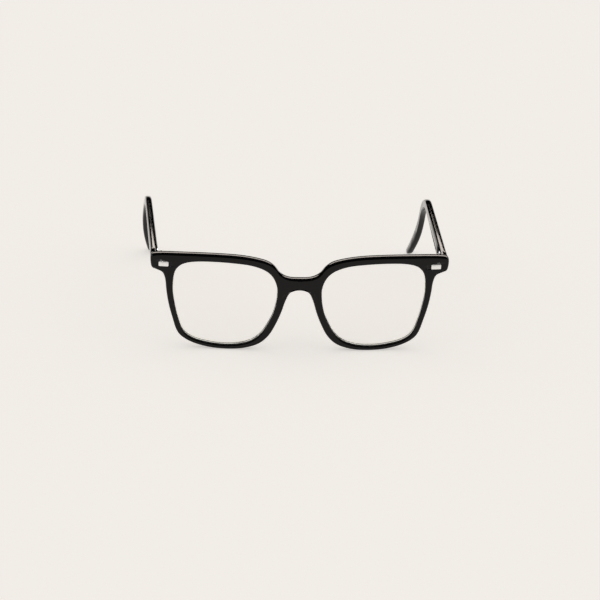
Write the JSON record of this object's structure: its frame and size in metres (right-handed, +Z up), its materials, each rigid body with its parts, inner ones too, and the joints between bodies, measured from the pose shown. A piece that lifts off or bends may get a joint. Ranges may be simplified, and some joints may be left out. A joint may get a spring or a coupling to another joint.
{
  "type": "blue light glasses",
  "caption": "Full-rim glasses with a gloss black moulded front, clear violet-reflecting lenses and temples that fold on metal barrel hinges.",
  "frame": {"origin": "middle of the box's underside: on the surface the open glasses stand on, half-way between the lenses", "axes": "+Z up, the front faces -Y and the open temples point to +Y, +X towards the wearer's left"},
  "size_m": [0.1402, 0.139, 0.0468],
  "materials": {
    "frame_black": "polished gloss black",
    "lens_clear": "clear with a violet anti-reflective coating",
    "hinge_steel": "plated steel",
    "plaque_silver": "polished silver"
  },
  "bodies": {
    "front": {"front_frame": "frame_black", "left_lens": "lens_clear", "right_lens": "lens_clear", "left_nose_pad": "frame_black", "right_nose_pad": "frame_black", "left_front_hinge": "hinge_steel", "right_front_hinge": "hinge_steel", "left_hinge_screw": "hinge_steel", "right_hinge_screw": "hinge_steel", "left_front_plaque": "plaque_silver", "right_front_plaque": "plaque_silver", "left_inner_rivet": "hinge_steel", "left_outer_rivet": "hinge_steel", "right_inner_rivet": "hinge_steel", "right_outer_rivet": "hinge_steel"},
    "left_arm": {"left_temple": "frame_black", "left_temple_hinge": "hinge_steel", "left_core_wire": "hinge_steel"},
    "right_arm": {"right_temple": "frame_black", "right_temple_hinge": "hinge_steel", "right_core_wire": "hinge_steel"}
  },
  "joints": [
    {"name": "left_temple_fold", "type": "hinge", "parent": "front", "child": "left_arm", "pos_m": [0.0651, -0.06, 0.0425], "axis": [0, 0, 1], "range_deg": [0, 78.5]},
    {"name": "right_temple_fold", "type": "hinge", "parent": "front", "child": "right_arm", "pos_m": [-0.0651, -0.06, 0.0425], "axis": [0, 0, -1], "range_deg": [0, 90]}
  ]
}
